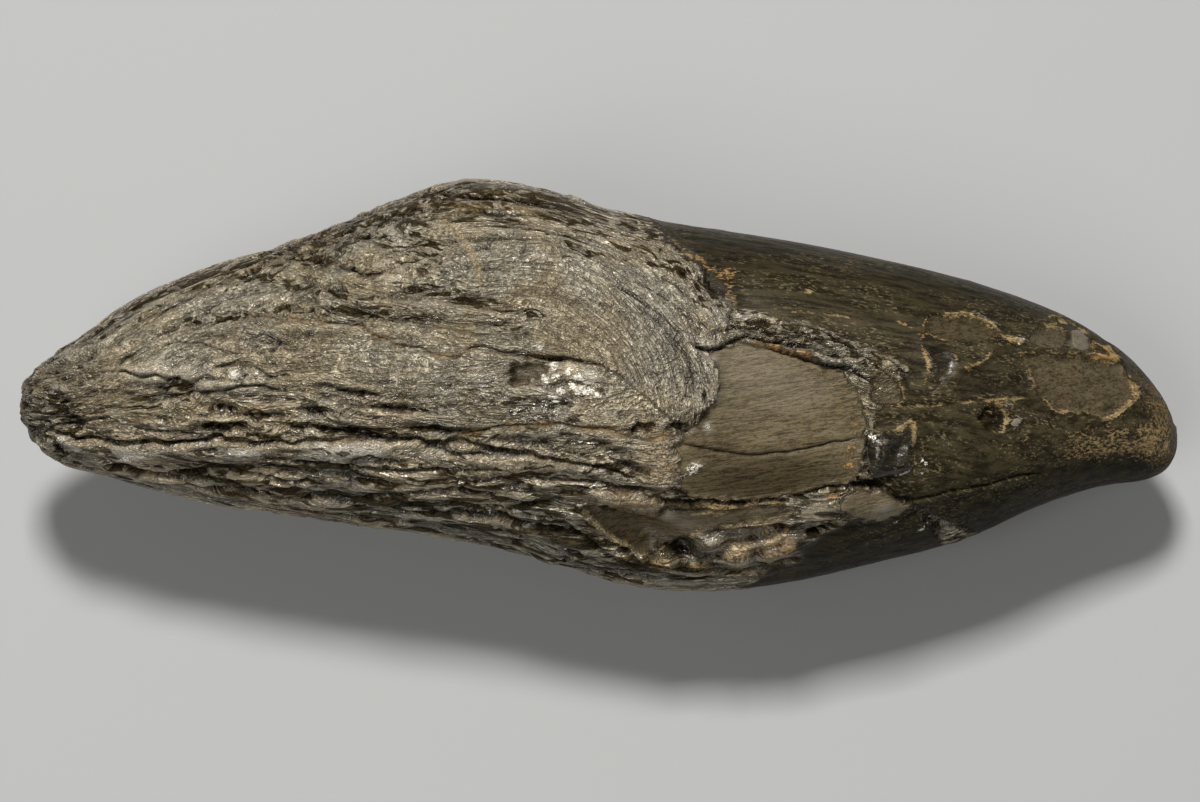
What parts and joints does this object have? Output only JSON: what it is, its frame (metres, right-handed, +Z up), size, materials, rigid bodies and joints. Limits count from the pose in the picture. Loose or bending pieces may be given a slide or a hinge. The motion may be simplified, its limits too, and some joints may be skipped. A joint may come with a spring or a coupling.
{
  "type": "fossil sperm whale tooth",
  "caption": "Fossil whale tooth lying on its side: a spindle with a wrinkled, fissured root at one end and a smooth worn crown at the other, for display.",
  "frame": {"origin": "centre of the bounding box's underside, on the table that the tooth lies on", "axes": "+X along the tooth from the root's tip to the crown's tip, +Z up, and the broad face leans towards -Y"},
  "size_m": [0.152, 0.0532, 0.0446],
  "materials": {
    "fossil": "dark grey-brown fossil, satin, with ochre stain in the cracks"
  },
  "bodies": {
    "root": {"tooth": "fossil"}
  },
  "joints": []
}
